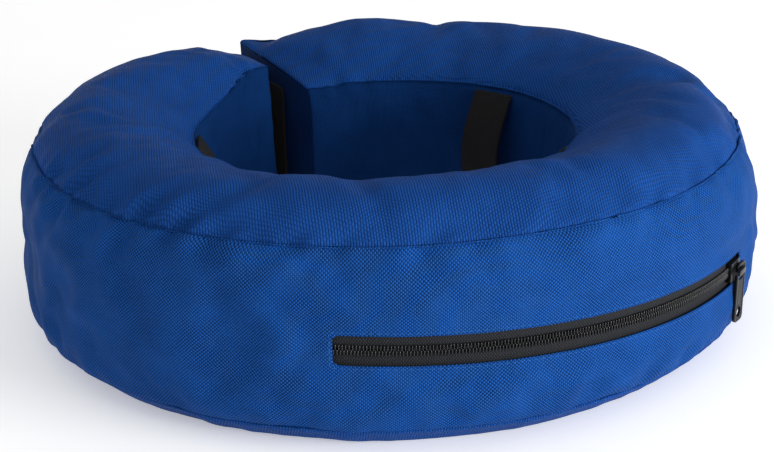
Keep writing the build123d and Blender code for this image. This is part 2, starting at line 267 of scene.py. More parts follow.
def columns(step):
    """Azimuths of the columns: closer at the two ends, with some at fixed places."""
    near = np.array(END_COLUMNS) / (radians(1) * MEAN_RADIUS)
    marks = [LEFT_END + near[-1], WINDOW[0], ZIP_FRONT, WINDOW[1], RIGHT_END - near[-1]]
    parts = [LEFT_END + near[:-1]]
    for first, last in zip(marks, marks[1:]):
        count = max(2, int(round((last - first) / step)))
        parts.append(np.linspace(first, last, count, endpoint=False))
    parts.append(RIGHT_END - near[::-1])
    return np.concatenate(parts)


# ---------------------------------------------------------------- cloth simulation


def grid_faces(rows, cols):
    """Quads of a grid whose rows close round the tube, facing outwards."""
    r = np.arange(rows)[:, None]
    c = np.arange(cols - 1)[None, :]
    n = (r + 1) % rows
    quads = np.stack([r * cols + c, r * cols + c + 1, n * cols + c + 1, n * cols + c], -1)
    return quads.reshape(-1, 4)


def linked(name, data):
    """New object that is in the scene."""
    made = bpy.data.objects.new(name, data)
    bpy.context.scene.collection.objects.link(made)
    return made


def mesh_object(name, vertices, faces):
    mesh = bpy.data.meshes.new(name)
    mesh.from_pydata([tuple(v) for v in vertices], [], [tuple(f) for f in faces])
    mesh.update()
    return linked(name, mesh)


SIM_STEP = 1.3
SIM_ROW_STEP = 2
SIM_FRAMES = 22
SIM_CAP = 2.2
SIM_HOLD = 0.10
BROAD_SHARE = 0.1
BROAD_CAP = 1.5
BROAD_BLUR, FINE_BLUR = 60, 2
# Held still: this many degrees and millimetres round the window, and the floor's rows
PIN_MARGIN = 4
FLOOR_MARGIN = 8


def simulate(points, keep_rows, azimuth):
    """Inflate a coarse copy of the cover and return how far each of its points moved."""
    rows, cols = points.shape[:2]
    cloth = mesh_object("cover_trial", points.reshape(-1, 3) * MM, grid_faces(rows, cols))
    seams = np.isin(keep_rows, SEAM_ROWS)
    seam_group = cloth.vertex_groups.new(name="seams")
    pin_group = cloth.vertex_groups.new(name="pins")
    low, high = window_edges(azimuth)
    height = points[..., 2]
    near_window = (
        ((azimuth > WINDOW[0] - PIN_MARGIN) & (azimuth < WINDOW[1] + PIN_MARGIN))[None, :]
        & (keep_rows > OUTER_FOOT_ROW)[:, None]
        & (height > low - PIN_MARGIN) & (height < high + PIN_MARGIN)
    )
    on_floor = (
        (keep_rows > INNER_FOOT_ROW + FLOOR_MARGIN) & (keep_rows < OUTER_FOOT_ROW - FLOOR_MARGIN)
    )
    ends = np.zeros(cols, bool)
    ends[[0, -1]] = True
    pinned = (near_window | on_floor[:, None] | ends[None, :]).ravel()
    pin_group.add(np.flatnonzero(~pinned).tolist(), SIM_HOLD, "REPLACE")
    pin_group.add(np.flatnonzero(pinned).tolist(), 1.0, "REPLACE")
    for row in np.flatnonzero(seams):
        seam_group.add((row * cols + np.arange(cols)).tolist(), 1.0, "REPLACE")
    modifier = cloth.modifiers.new("Cloth", "CLOTH")
    settings = modifier.settings
    settings.quality = 5
    settings.mass = 0.3
    settings.tension_stiffness = settings.compression_stiffness = 40
    settings.shear_stiffness = 20
    settings.bending_stiffness = 0.5
    settings.use_pressure = True
    settings.uniform_pressure_force = 0.6
    settings.pin_stiffness = 1
    settings.vertex_group_mass = "pins"
    settings.vertex_group_shrink = "seams"
    settings.shrink_min = -0.05
    settings.shrink_max = 0.02
    settings.effector_weights.gravity = 0
    modifier.collision_settings.use_collision = False
    modifier.collision_settings.use_self_collision = False
    modifier.point_cache.frame_start = 1
    modifier.point_cache.frame_end = SIM_FRAMES
    scene = bpy.context.scene
    for number in range(1, SIM_FRAMES + 1):
        scene.frame_set(number)
    result = cloth.evaluated_get(bpy.context.evaluated_depsgraph_get()).data
    moved = np.empty(rows * cols * 3)
    result.vertices.foreach_get("co", moved)
    scene.frame_set(1)
    mesh = cloth.data
    bpy.data.objects.remove(cloth)
    bpy.data.meshes.remove(mesh)
    return moved.reshape(rows, cols, 3) / MM - points


def softened(grid, times):
    """Values on the grid, each mixed with its neighbours' a number of times."""
    for _ in range(times):
        grid = 0.5 * grid + 0.25 * (np.roll(grid, 1, 0) + np.roll(grid, -1, 0))
        grid[:, 1:-1] = 0.5 * grid[:, 1:-1] + 0.25 * (grid[:, :-2] + grid[:, 2:])
    return grid


def inflate(azimuth):
    """Outward movement of the fine grid's points, from the simulation of a coarse one."""
    coarse_azimuth = columns(SIM_STEP)
    radius, height = section(coarse_azimuth)
    points = to_space(coarse_azimuth, radius, height)
    keep = thinned_rows(SIM_ROW_STEP)
    points = points[keep]
    shift = simulate(points, keep, coarse_azimuth)
    out = np.sum(shift * outward(points), axis=-1)
    broad = softened(out, BROAD_BLUR)
    out = SIM_CAP * np.tanh((out - broad) / SIM_CAP) + BROAD_CAP * np.tanh(broad * BROAD_SHARE)
    closed = np.vstack([out, out[:1]])
    rows = np.append(keep, ROWS)
    by_row = np.stack([np.interp(np.arange(ROWS), rows, column) for column in closed.T], 1)
    fine = np.stack([np.interp(azimuth, coarse_azimuth, line) for line in by_row])
    return softened(fine, FINE_BLUR)


# ---------------------------------------------------------------- cover detail


def ripples(along, across, waves, longest, shortest, rng):
    """Soft random relief with a spread of about 1, from sine waves in all directions."""
    total = np.zeros(np.broadcast(along, across).shape)
    for _ in range(waves):
        length = np.exp(rng.uniform(np.log(shortest), np.log(longest)))
        angle, phase = rng.uniform(0, pi), rng.uniform(0, 2 * pi)
        wave = 2 * pi / length * (along * cos(angle) + across * sin(angle)) + phase
        total += np.sin(wave)
    return total / np.sqrt(waves / 2)


# Azimuths at which the outer top seam is clearly puckered, with length and depth
TOP_PUCKERS = (
    (-181, 16, 2.6), (-173, 26, 2.9), (-163, 12, 2.0), (-156, 19, 3.4), (-148.5, 15, 3.0),
    (-142, 8, 1.8), (-131, 8, 1.5), (-124, 7, 1.4), (-112, 8, 1.6), (-104, 6, 1.0),
    (-96, 6, 1.2), (-84, 7, 1.2), (-76, 9, 1.4), (-66, 8, 1.4), (-57, 8, 1.2), (-38, 9, 1.3),
    (70, 12, 0.9),
)
# The same for the inner top seam, with each fold's width and lean as well
INNER_PUCKERS = (
    (-260, 17, 2.0, 2.2, 0.35), (-254, 10, 1.0, 2.2, 0.5), (-246, 8, 0.6, 2.5, -0.3),
    (-234, 7, 0.5, 2.5, 0.2), (80, 12, 1.2, 3, -0.3), (70, 9, 0.9, 3, 0.2),
)


def pucker(azimuth, distance, centres, per_degree, slant):
    """Small folds that run from a seam into the panel beside it."""
    total = np.zeros(np.broadcast(azimuth, distance).shape)
    for centre, length, depth, width, lean in centres:
        at = (azimuth - centre) * per_degree - lean * slant * distance
        fade = np.exp(-((distance / length) ** 2))
        spread = width * (1 + distance / length)
        total -= depth * fade * np.exp(-((at / spread) ** 2))
        total += 0.45 * depth * fade * np.exp(-(((np.abs(at) - 2 * spread) / spread) ** 2))
    return total


def random_puckers(spacing, depth, length, rng):
    """List of small folds at uneven places all along a seam."""
    folds = []
    at = LEFT_END + 3
    while at < RIGHT_END - 3:
        folds.append((
            at, length * rng.uniform(0.5, 1.6), depth * rng.uniform(0.3, 1.3),
            rng.uniform(2.0, 4.2), rng.uniform(-0.4, 0.4),
        ))
        at += spacing * rng.uniform(0.5, 1.6)
    return folds


SEAM_GROOVE = 2.1
SEAM_GROOVE_WIDTH = 2.0
SEAM_RIDGE = 2.1
SEAM_RIDGE_WIDTH = 0.5
# Each seam's row, millimetres per degree, and its folds' spacing, depth and length
SEAM_FOLDS = (
    (TOP_SEAM_ROW, 3.2, 3.2, 0.42, 7), (INNER_SEAM_ROW, 1.7, 5, 0.16, 6),
    (INNER_FOOT_ROW, 1.7, 8, 0.4, 8), (OUTER_FOOT_ROW, 3.25, 4.5, 0.4, 8),
)
FLOOR_RELIEF = 0.4


def relief(azimuth, radius, height):
    """Outward relief of the cover: seam grooves, the folds beside them, and creases."""
    a = azimuth[None, :]
    row = np.arange(ROWS)[:, None]
    total = np.zeros((ROWS, len(azimuth)))
    for seam, per_degree, spacing, depth, length in SEAM_FOLDS:
        gap = np.hypot(radius - radius[seam], height - height[seam])
        total -= SEAM_GROOVE * np.exp(-((gap / SEAM_GROOVE_WIDTH) ** 2))
        if seam in (TOP_SEAM_ROW, INNER_SEAM_ROW):
            total += SEAM_RIDGE * np.exp(-((gap / SEAM_RIDGE_WIDTH) ** 2))
        folds = random_puckers(spacing, depth, length, rng)
        if seam == TOP_SEAM_ROW:
            folds += [(*fold, 3.2, 0.6) for fold in TOP_PUCKERS]
        if seam == INNER_SEAM_ROW:
            folds += list(INNER_PUCKERS)
        total += pucker(a, gap, folds, per_degree, np.where(row < ROWS // 2, 1, -1))
    on_outer = (row > OUTER_FOOT_ROW) | (row == 0)
    on_inner = (row > INNER_SEAM_ROW) & (row < INNER_FOOT_ROW)
    along = a * radians(1) * MEAN_RADIUS
    across = np.cumsum(np.hypot(np.diff(radius, axis=0, prepend=radius[:1]),
                                np.diff(height, axis=0, prepend=height[:1])), axis=0)
    broad = ripples(along, across, 26, 150, 45, rng)
    fine = ripples(along, across, 46, 38, 13, rng)
    patchy = smooth(0.5 + 0.5 * ripples(along, across, 12, 260, 90, rng))
    size = np.where(on_outer, 0.36, np.where(on_inner, 0.3, 0.12))
    total += 0.5 * broad + size * fine * (0.25 + 0.75 * patchy)
    floor = (row > INNER_FOOT_ROW) & (row < OUTER_FOOT_ROW)
    return np.where(floor, total * FLOOR_RELIEF, total)


WINDOW_CALM = (1.5, 14.0)
END_CALM = 14.0
FOLD_LIMIT, RISE_LIMIT = 4.2, 5.0
# The edges of the two end faces are rounded over
ROUND_REACH, ROUND_DROP = 3.2, 1.6


def window_calm(azimuth, height):
    """1 well away from the zip window and 0 at its stitched edge, and the gap to it."""
    low, high = window_edges(azimuth)
    rows = np.arange(ROWS)[:, None]
    outside = np.maximum(low - height, height - high)
    beyond = np.maximum(WINDOW[0] - azimuth, azimuth - WINDOW[1]) * radians(1) * OUTER_BULGE
    gap = np.maximum(outside, beyond[None, :])
    calm = smooth((gap - WINDOW_CALM[0]) / WINDOW_CALM[1])
    return np.where(rows > OUTER_FOOT_ROW, calm, 1), gap


STITCH_OFFSET = 1.3
STITCH_DEPTH = 0.08
STITCH_DENT = 0.8
THREAD_RADIUS = 0.24
STITCH_LENGTH, STITCH_GAP = 2.6, 0.7
COVER_STEP = 0.8
RIM_HOLD = 0.75
RIM_REACH = 20.0
CORNER_CUT = 0.32
CORNER_RISE = 0.9


def build_cover():
    """Grid of the finished cover, (rows, columns, 3) in millimetres, and its azimuths."""
    azimuth = columns(COVER_STEP)
    radius, height = section(azimuth)
    base = to_space(azimuth, radius, height)
    out = relief(azimuth, radius, height)
    rim = np.hypot(radius - radius[INNER_SEAM_ROW], height - height[INNER_SEAM_ROW])
    out = out + inflate(azimuth) * (1 - RIM_HOLD * np.exp(-((rim / RIM_REACH) ** 2)))
    calm, gap = window_calm(azimuth, height)
    left, right = end_distance(azimuth)
    edge = np.minimum(left, right)[None, :]
    near_end = smooth(edge / END_CALM)
    out = out * calm * (0.25 + 0.75 * near_end)
    rows = np.arange(ROWS)[:, None]
    stitched = (rows > OUTER_FOOT_ROW) & (gap > 0)
    out -= stitched * STITCH_DEPTH * np.exp(-(((gap - STITCH_OFFSET) / STITCH_DENT) ** 2))
    out -= ROUND_DROP * (1 - np.sqrt(1 - (1 - np.clip(edge / ROUND_REACH, 0, 1)) ** 2))
    out = np.clip(out, -FOLD_LIMIT, RISE_LIMIT)
    points = base + outward(base) * out[..., None]
    for row, lift in ((WINDOW_LOW_ROW, 1), (WINDOW_HIGH_ROW, -1)):
        for edge_azimuth, turn in zip(WINDOW, (1, -1)):
            column = int(np.argmin(np.abs(azimuth - edge_azimuth)))
            corner = points[OUTER_FOOT_ROW + row, column]
            beside = points[OUTER_FOOT_ROW + row, column + turn]
            corner += (beside - corner) * CORNER_CUT
            corner[2] += lift * CORNER_RISE
    points[..., 2] = np.maximum(points[..., 2], 0)
    return points, azimuth


def cap_grid(loop):
    """Points that fill one end of the tube, from the four sides of its last loop."""
    top = loop[TOP_SEAM_ROW:INNER_SEAM_ROW + 1]
    inner = loop[INNER_SEAM_ROW:INNER_FOOT_ROW + 1]
    bottom = loop[INNER_FOOT_ROW:OUTER_FOOT_ROW + 1][::-1]
    outer = np.vstack([loop[OUTER_FOOT_ROW:], loop[:1]])[::-1]
    u = TOP_ROWS[None, :, None]
    v = WALL_ROWS[:, None, None]
    ruled = (1 - v) * top[None] + v * bottom[None] + (1 - u) * outer[:, None] + u * inner[:, None]
    four = (
        (1 - v) * ((1 - u) * top[0] + u * top[-1]) + v * ((1 - u) * bottom[0] + u * bottom[-1])
    )
    return ruled - four


# ---------------------------------------------------------------- materials


class Shader:
    """A material made of nodes, with short calls for its arithmetic."""

    def __init__(self, name, roughness, specular, **constants):
        self.material = bpy.data.materials.new(name)
        self.material.use_nodes = True
        self.tree = self.material.node_tree
        self.surface = self.tree.nodes["Principled BSDF"]
        self.put(self.surface.inputs["Roughness"], roughness)
        self.put(self.surface.inputs["Specular IOR Level"], specular)
        for key, value in constants.items():
            self.put(self.surface.inputs[key.replace("_", " ")], value)

    def put(self, socket, value):
        if isinstance(value, bpy.types.NodeSocket):
            self.tree.links.new(value, socket)
        else:
            socket.default_value = value

    def node(self, kind, inputs=None, **settings):
        made = self.tree.nodes.new(kind)
        for key, value in settings.items():
            setattr(made, key, value)
        for key, value in (inputs or {}).items():
            self.put(made.inputs[key], value)
        return made

    def math(self, operation, *values, clamp=False):
        values = dict(enumerate(values))
        made = self.node("ShaderNodeMath", values, operation=operation, use_clamp=clamp)
        return made.outputs[0]

    def times(self, first, second):
        return self.math("MULTIPLY", first, second)

    def scaled(self, value, factor, added, clamp=False):
        return self.math("MULTIPLY_ADD", value, factor, added, clamp=clamp)

    def wave(self, value, pitch):
        """Sine that crosses zero once in every pitch."""
        return self.math("SINE", self.times(value, pi / pitch))

    def split(self, coords):
        parts = self.node("ShaderNodeSeparateXYZ", {0: coords}).outputs
        return parts[0], parts[1], parts[2]

    def uv(self, turn=0.0):
        """The piece's own cloth coordinates in metres, turned by some degrees."""
        coords = self.node("ShaderNodeUVMap", uv_map="cloth").outputs["UV"]
        if turn:
            values = {"Vector": coords, "Angle": radians(turn)}
            coords = self.node("ShaderNodeVectorRotate", values, rotation_type="Z_AXIS").outputs[0]
        u, v, _ = self.split(coords)
        return u, v, coords

    def place(self):
        return self.node("ShaderNodeTexCoord").outputs["Object"]

    def noise(self, coords, scale, detail=2.0, roughness=0.5):
        values = {"Vector": coords, "Scale": scale, "Detail": detail, "Roughness": roughness}
        return self.node("ShaderNodeTexNoise", values).outputs["Fac"]

    def mix(self, share, first, second):
        first, second = ((*c, 1) if isinstance(c, tuple) else c for c in (first, second))
        values = {"Factor": share, "A": first, "B": second}
        return self.node("ShaderNodeMix", values, data_type="RGBA").outputs["Result"]

    def ramp(self, value, low, high):
        values = {"Value": value, "From Min": low, "From Max": high}
        return self.node("ShaderNodeMapRange", values).outputs["Result"]

    def colour(self, value):
        self.put(self.surface.inputs["Base Color"], value)

    def roughness(self, value):
        self.put(self.surface.inputs["Roughness"], value)

    def bump(self, height, distance, strength, below=None):
        values = {"Height": height, "Distance": distance, "Strength": strength}
        if below is not None:
            values["Normal"] = below
        normal = self.node("ShaderNodeBump", values).outputs["Normal"]
        self.put(self.surface.inputs["Normal"], normal)
        return normal

    def weave(self, u, v, pitch_u, pitch_v):
        """Plain weave: how high the cloth is, and 1 where the thread along v is on top."""
        across, along = self.wave(u, pitch_u), self.wave(v, pitch_v)
        over = self.scaled(self.times(across, along), 3.0, 0.5, clamp=True)
        round_u = self.math("POWER", self.math("ABSOLUTE", across), 0.7)
        round_v = self.math("POWER", self.math("ABSOLUTE", along), 0.7)
        warp = self.times(round_u, self.scaled(round_v, 0.4, 0.6))
        weft = self.times(round_v, self.scaled(round_u, 0.4, 0.6))
        lift = self.times(self.math("SUBTRACT", warp, weft), over)
        return self.math("ADD", lift, weft), over


def cover_fabric(name, turn, pitch_u, pitch_v, rib, thread_shade, bright):
    """Royal blue coated nylon in a coarse plain weave, with a painted satin sheen and small
    crinkles.
    """
    s = Shader(name, 0.5, 0.012)
    u, v, coords = s.uv(turn)
    u = s.scaled(s.noise(coords, 90, 1), 0.0009, u)
    height, over = s.weave(u, v, pitch_u, pitch_v)
    ridge = s.math("ABSOLUTE", s.wave(u, pitch_u))
    height = s.scaled(s.math("SUBTRACT", ridge, height), rib, height)
    over = s.scaled(s.math("SUBTRACT", ridge, over), rib, over)
    sheen_patches = s.noise(coords, 38, 4, 0.6)
    slub = s.noise(coords, 900, 2, 0.6)
    # Threads on top take the light colour and the others the dark one: the cloth's royal blue, with
    # painted glints on the threads and painted shade between them, varied by the yarn's slubs.
    base = s.mix(s.scaled(over, 0.62, s.times(slub, 0.4)), thread_shade, bright)
    # Random broad patches are mixed about a third of the way to the light colour: painted sheen.
    s.colour(s.mix(s.ramp(sheen_patches, 0.35, 0.75), base, s.mix(0.35, base, bright)))
    s.roughness(s.scaled(slub, 0.25, s.scaled(sheen_patches, 0.2, 0.25)))
    crinkle = s.bump(s.noise(coords, 120, 3, 0.55), 0.0016, 0.5)
    s.bump(height, 0.00035, 1.0, crinkle)
    return s.material


def webbing_cloth():
    """Black webbing: ribs along its length, crossed by fine picks."""
    s = Shader("webbing_cloth", 0.8, 0.15)
    u, v, coords = s.uv()
    height, over = s.weave(u, v, 0.0016, 0.0008)
    fuzz = s.noise(coords, 2500)
    s.colour(s.mix(s.times(over, fuzz), (0.006, 0.006, 0.007), (0.022, 0.021, 0.022)))
    s.bump(height, 0.0003, 0.9)
    return s.material


def zip_cloth():
    """Charcoal zip tape, a tight ribbed weave."""
    s = Shader("zip_cloth", 0.75, 0.15)
    coords = s.place()
    x, y, z = s.split(coords)
    along = s.times(s.math("ARCTAN2", y, x), TAPE_MIDDLE * MM)
    height, over = s.weave(along, z, 0.0007, 0.0009)
    tint = s.scaled(over, 0.5, s.times(s.noise(coords, 1800), 0.5))
    s.colour(s.mix(tint, (0.002, 0.002, 0.003), (0.034, 0.036, 0.042)))
    s.bump(height, 0.0003, 1.0)
    return s.material


def grained(name, roughness, specular, noise, low, high, relief, spread=None, sheen=None, **more):
    """Plain material whose colour, roughness and height all follow one fine noise."""
    s = Shader(name, roughness, specular, **more)
    grain = s.noise(s.place(), *noise)
    s.colour(s.mix(s.ramp(grain, *spread) if spread else grain, low, high))
    if sheen:
        s.roughness(s.scaled(grain, *sheen))
    s.bump(grain, *relief)
    return s.material


# Top and bottom panels: ribbed weave turned 19 degrees, a little darker than the walls, with weaker
# painted glints and painted shade between threads.
TOP_CLOTH = cover_fabric(
    "cover_cloth_flat", 19.0, 0.00125, 0.0008, 0.6,
    (0.0004, 0.0045, 0.034), (0.0135, 0.082, 0.34),
)
# Outer wall: the strongest painted glints on the threads and painted shade between them.
BAND_CLOTH = cover_fabric(
    "cover_cloth_band", 0.0, 0.0009, 0.00082, 0.0,
    (0.0001, 0.0018, 0.010), (0.0155, 0.104, 0.42),
)
# Neck wall and end faces: finer threads and about half the wall's brightness, which is painted
# shade.
NECK_CLOTH_SHADED = cover_fabric(
    "cover_cloth_neck_shaded", 0.0, 0.0007, 0.0007, 0.0,
    (0.0003, 0.0030, 0.024), (0.0075, 0.053, 0.215),
)
WEBBING = webbing_cloth()
ZIP_CLOTH = zip_cloth()
# Black polyester monofilament, faintly streaked
COIL = grained(
    "zip_coil_plastic", 0.25, 0.6, (900, 3), (0.006, 0.006, 0.007), (0.022, 0.022, 0.024),
    (0.00005, 0.5), sheen=(0.2, 0.14),
)
# Glossy black enamel on metal, rubbed a little
ENAMEL = grained(
    "black_enamel", 0.3, 0.25, (420, 5, 0.65), (0.003, 0.003, 0.004), (0.016, 0.017, 0.02),
    (0.00004, 0.6), (0.5, 0.85), (0.3, 0.18), Coat_Weight=0.08, Coat_Roughness=0.1,
)
# Matte charcoal enamel of the pull tab's sunk face
PULL_MATTE = grained(
    "pull_metal", 0.45, 0.25, (2600, 3, 0.6), (0.004, 0.004, 0.005), (0.018, 0.019, 0.022),
    (0.00005, 0.6), sheen=(0.3, 0.3),
)
# Hook and loop tape: a dense, rough black pile
HOOK_TAPE = grained(
    "hook_pile", 0.85, 0.25, (1500, 4, 0.7), (0.004, 0.004, 0.005), (0.03, 0.03, 0.032),
    (0.0005, 1.0), (0.3, 0.7),
)
LOOP_TAPE = grained(
    "loop_pile", 0.85, 0.25, (800, 4, 0.7), (0.008, 0.008, 0.009), (0.035, 0.035, 0.037),
    (0.0007, 1.0), (0.3, 0.7),
)
# Smooth vinyl with a faint haze
FILM = grained(
    "bladder_film", 0.28, 0.5, (60, 3), (0.42, 0.45, 0.5), (0.6, 0.62, 0.66),
    (0.0003, 0.3), sheen=(0.2, 0.18),
)
CLEAR = grained(
    "valve_vinyl", 0.28, 0.5, (120, 3), (0.55, 0.58, 0.6), (0.75, 0.77, 0.8),
    (0.0003, 0.3), sheen=(0.2, 0.18),
)
# Blue twisted thread
THREAD = grained(
    "sewing_thread", 0.6, 0.05, (3000,), (0.006, 0.035, 0.17), (0.03, 0.14, 0.46),
    (0.00008, 0.8),
)


# ---------------------------------------------------------------- cover pieces


def set_uv(mesh, coords):
    """Cloth coordinates in metres, one per face corner."""
    layer = mesh.uv_layers.new(name="cloth")
    layer.data.foreach_set("uv", np.ascontiguousarray(coords, dtype=np.float32).ravel())


def smooth_shade(made):
    made.data.polygons.foreach_set("use_smooth", [True] * len(made.data.polygons))


def face_outwards(mesh, weld=0.0):
    """Turn all faces outwards, after joining vertices closer than the weld distance."""
    bm = bmesh.new()
    bm.from_mesh(mesh)
    if weld:
        bmesh.ops.remove_doubles(bm, verts=bm.verts, dist=weld)
    bmesh.ops.recalc_face_normals(bm, faces=bm.faces)
    bm.to_mesh(mesh)
    bm.free()


def ring_faces(start, rings, around):
    """Quads between rings of vertices that follow each other, and a cap on each end."""
    faces = []
    for first in range(start, start + (rings - 1) * around, around):
        for j in range(around):
            a, b = first + j, first + (j + 1) % around
            faces.append((a, b, b + around, a + around))
    faces.append(tuple(start + j for j in range(around))[::-1])
    faces.append(tuple(start + (rings - 1) * around + j for j in range(around)))
    return faces


def hinge_blend(made, side):
    """Bake the placement in; the pivot where front span meets left (-1) or right (1) arm is unused.
    """
    angle = radians(ZIP_FRONT + side * HINGE_ANGLE)
    pivot = np.array([cos(angle), sin(angle), 0]) * HINGE_RADIUS * MM
    pivot[2] = MIDDLE_HEIGHT * MM
    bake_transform(made)


# Rings of the hem round the window: how deep behind the cloth and how far from its edge
HEM = ((0.45, -0.1), (0.95, 0.15), (1.15, 0.8), (1.15, 4.0))


def cover_half(name, points, azimuth, side):
    """Left (-1) or right (1) half of the cover, with its end face and half the window."""
    front = int(np.argmin(np.abs(azimuth - ZIP_FRONT)))
    picked = slice(0, front + 1) if side < 0 else slice(front, len(azimuth))
    normals = outward(points)[:, picked]
    part, angles = points[:, picked], azimuth[picked]
    rows, cols = part.shape[:2]
    window = np.zeros((rows, cols - 1), bool)
    middle = (angles[:-1] + angles[1:]) / 2
    low = OUTER_FOOT_ROW + WINDOW_LOW_ROW
    high = OUTER_FOOT_ROW + WINDOW_HIGH_ROW
    window[low:high, (middle > WINDOW[0]) & (middle < WINDOW[1])] = True
    quads = grid_faces(rows, cols)[~window.ravel()]
    vertices = [part.reshape(-1, 3)]
    number = rows * cols
    arc = np.broadcast_to(angles * radians(1), (rows, cols)).reshape(-1)
    flat = part.reshape(-1, 3)
    # End face, sharing the vertices of the last loop
    column = 0 if side < 0 else cols - 1
    cap = cap_grid(part[:, column])
    loop = np.arange(rows) * cols + column
    index = np.full(cap.shape[:2], -1)
    index[0] = loop[TOP_SEAM_ROW:INNER_SEAM_ROW + 1]
    index[:, -1] = loop[INNER_SEAM_ROW:INNER_FOOT_ROW + 1]
    index[-1] = loop[INNER_FOOT_ROW:OUTER_FOOT_ROW + 1][::-1]
    index[:, 0] = np.append(loop[OUTER_FOOT_ROW:], loop[0])[::-1]
    inside = index < 0
    index[inside] = number + np.arange(inside.sum())
    vertices.append(cap[inside])
    number += int(inside.sum())
    cap_quads = np.stack([index[:-1, :-1], index[1:, :-1], index[1:, 1:], index[:-1, 1:]], -1)
    cap_quads = cap_quads.reshape(-1, 4)
    if side < 0:
        cap_quads = cap_quads[:, ::-1]
    # Hem: the window's edge is folded under and lies behind the cloth
    hem_quads = []
    along = np.flatnonzero((angles >= WINDOW[0] - 1e-6) & (angles <= WINDOW[1] + 1e-6))
    along = along if side < 0 else along[::-1]
    edge = [(low, c) for c in along[::-1]] + [(r, along[0]) for r in range(low + 1, high + 1)]
    edge_row, edge_column = np.array(edge + [(high, c) for c in along[1:]]).T
    ids = edge_row * cols + edge_column
    rim = flat[ids]
    out = normals.reshape(-1, 3)[ids]
    tangent = np.stack([-np.sin(arc[ids]), np.cos(arc[ids])], 1)
    away = np.zeros_like(rim)
    away[:, 2] = (edge_row == high) * 1.0 - (edge_row == low)
    away[:, :2] = side * tangent * (edge_column == along[0])[:, None]
    away /= np.linalg.norm(away, axis=1, keepdims=True)
    previous = ids
    for depth, back in HEM:
        ring = rim - out * depth + away * back
        vertices.append(ring)
        now = number + np.arange(len(ring))
        number += len(ring)
        for k in range(len(ring) - 1):
            quad = (previous[k], previous[k + 1], now[k + 1], now[k])
            hem_quads.append(quad if side > 0 else quad[::-1])
        previous = now
    vertices = np.vstack(vertices)
    faces = np.vstack([quads, cap_quads, np.array(hem_quads)])
    used = np.unique(faces)
    lookup = np.full(len(vertices), -1)
    lookup[used] = np.arange(len(used))
    made = mesh_object(name, vertices[used] * MM, lookup[faces])
    mesh = made.data
    for cloth in (TOP_CLOTH, BAND_CLOTH, NECK_CLOTH_SHADED):
        mesh.materials.append(cloth)
    # Cloth coordinates: flat panels by place, bands by arc length and height
    face_row = np.concatenate([
        np.repeat(np.arange(rows), cols - 1)[~window.ravel()],
        np.full(len(cap_quads), -1), np.full(len(hem_quads), OUTER_FOOT_ROW + WINDOW_LOW_ROW),
    ])
    panel = (
        ((face_row >= 0) & (face_row < INNER_SEAM_ROW))
        | ((face_row >= INNER_FOOT_ROW) & (face_row < OUTER_FOOT_ROW))
    )
    place = vertices[faces] * MM
    turn = np.zeros(len(vertices))
    turn[:len(arc)] = arc
    turn[number - len(HEM) * len(ids):] = np.tile(arc[ids], len(HEM))
    on_inner = (face_row >= INNER_SEAM_ROW) & (face_row < INNER_FOOT_ROW)
    reach = np.where(on_inner, INNER_BULGE, OUTER_BULGE)[:, None] * MM
    band = np.stack([turn[faces] * reach, place[..., 2]], -1)
    planar = place[..., :2]
    facing = np.stack([place[..., 1], place[..., 2]], -1)
    coords = np.where(panel[:, None, None], planar, band)
    coords = np.where((face_row == -1)[:, None, None], facing, coords)
    set_uv(mesh, coords)
    # Panels take the first cloth, the outer wall the second, and the neck wall and end faces the
    # darker copy with painted shade.
    cloth = np.where(panel, 0, np.where(on_inner | (face_row == -1), 2, 1))
    mesh.polygons.foreach_set("material_index", cloth.astype(np.int32))
    smooth_shade(made)
    # The halves meet in the middle of the front with the same normals
    meeting = np.zeros((len(used), 3))
    front_column = cols - 1 if side < 0 else 0
    ids = lookup[np.arange(rows) * cols + front_column]
    ok = ids >= 0
    shared = normals[:, front_column]
    meeting[ids[ok]] = shared[ok]
    mesh.normals_split_custom_set_from_vertices([tuple(n) for n in meeting])
    return made


COVER_NODES = {
    -1: ("cover_top_left", "cover_bottom_left", "cover_outer_left", "cover_inner_left",
         "end_panel_left", "cover_top_front", "cover_bottom_front"),
    1: ("cover_top_right", "cover_bottom_right", "cover_outer_right", "cover_inner_right",
        "end_panel_right", "cover_outer_front", "cover_inner_front"),
}


def make_cover():
    points, azimuth = build_cover()
    for side, name in ((-1, "cover_left_half"), (1, "cover_right_half")):
        made = cover_half(name, points, azimuth, side)
        hinge_blend(made, side)
        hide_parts(*COVER_NODES[side])
    return points, azimuth


# ---------------------------------------------------------------- bladder

BLADDER_INSET = 7.0
BLADDER_STEP, BLADDER_ROW_STEP = 2.0, 4
VALVE_AZIMUTH = -100.0
VALVE_HEIGHT = 52.0
POCKET_RADIUS = 17.0
POCKET_FLOOR = 166.0


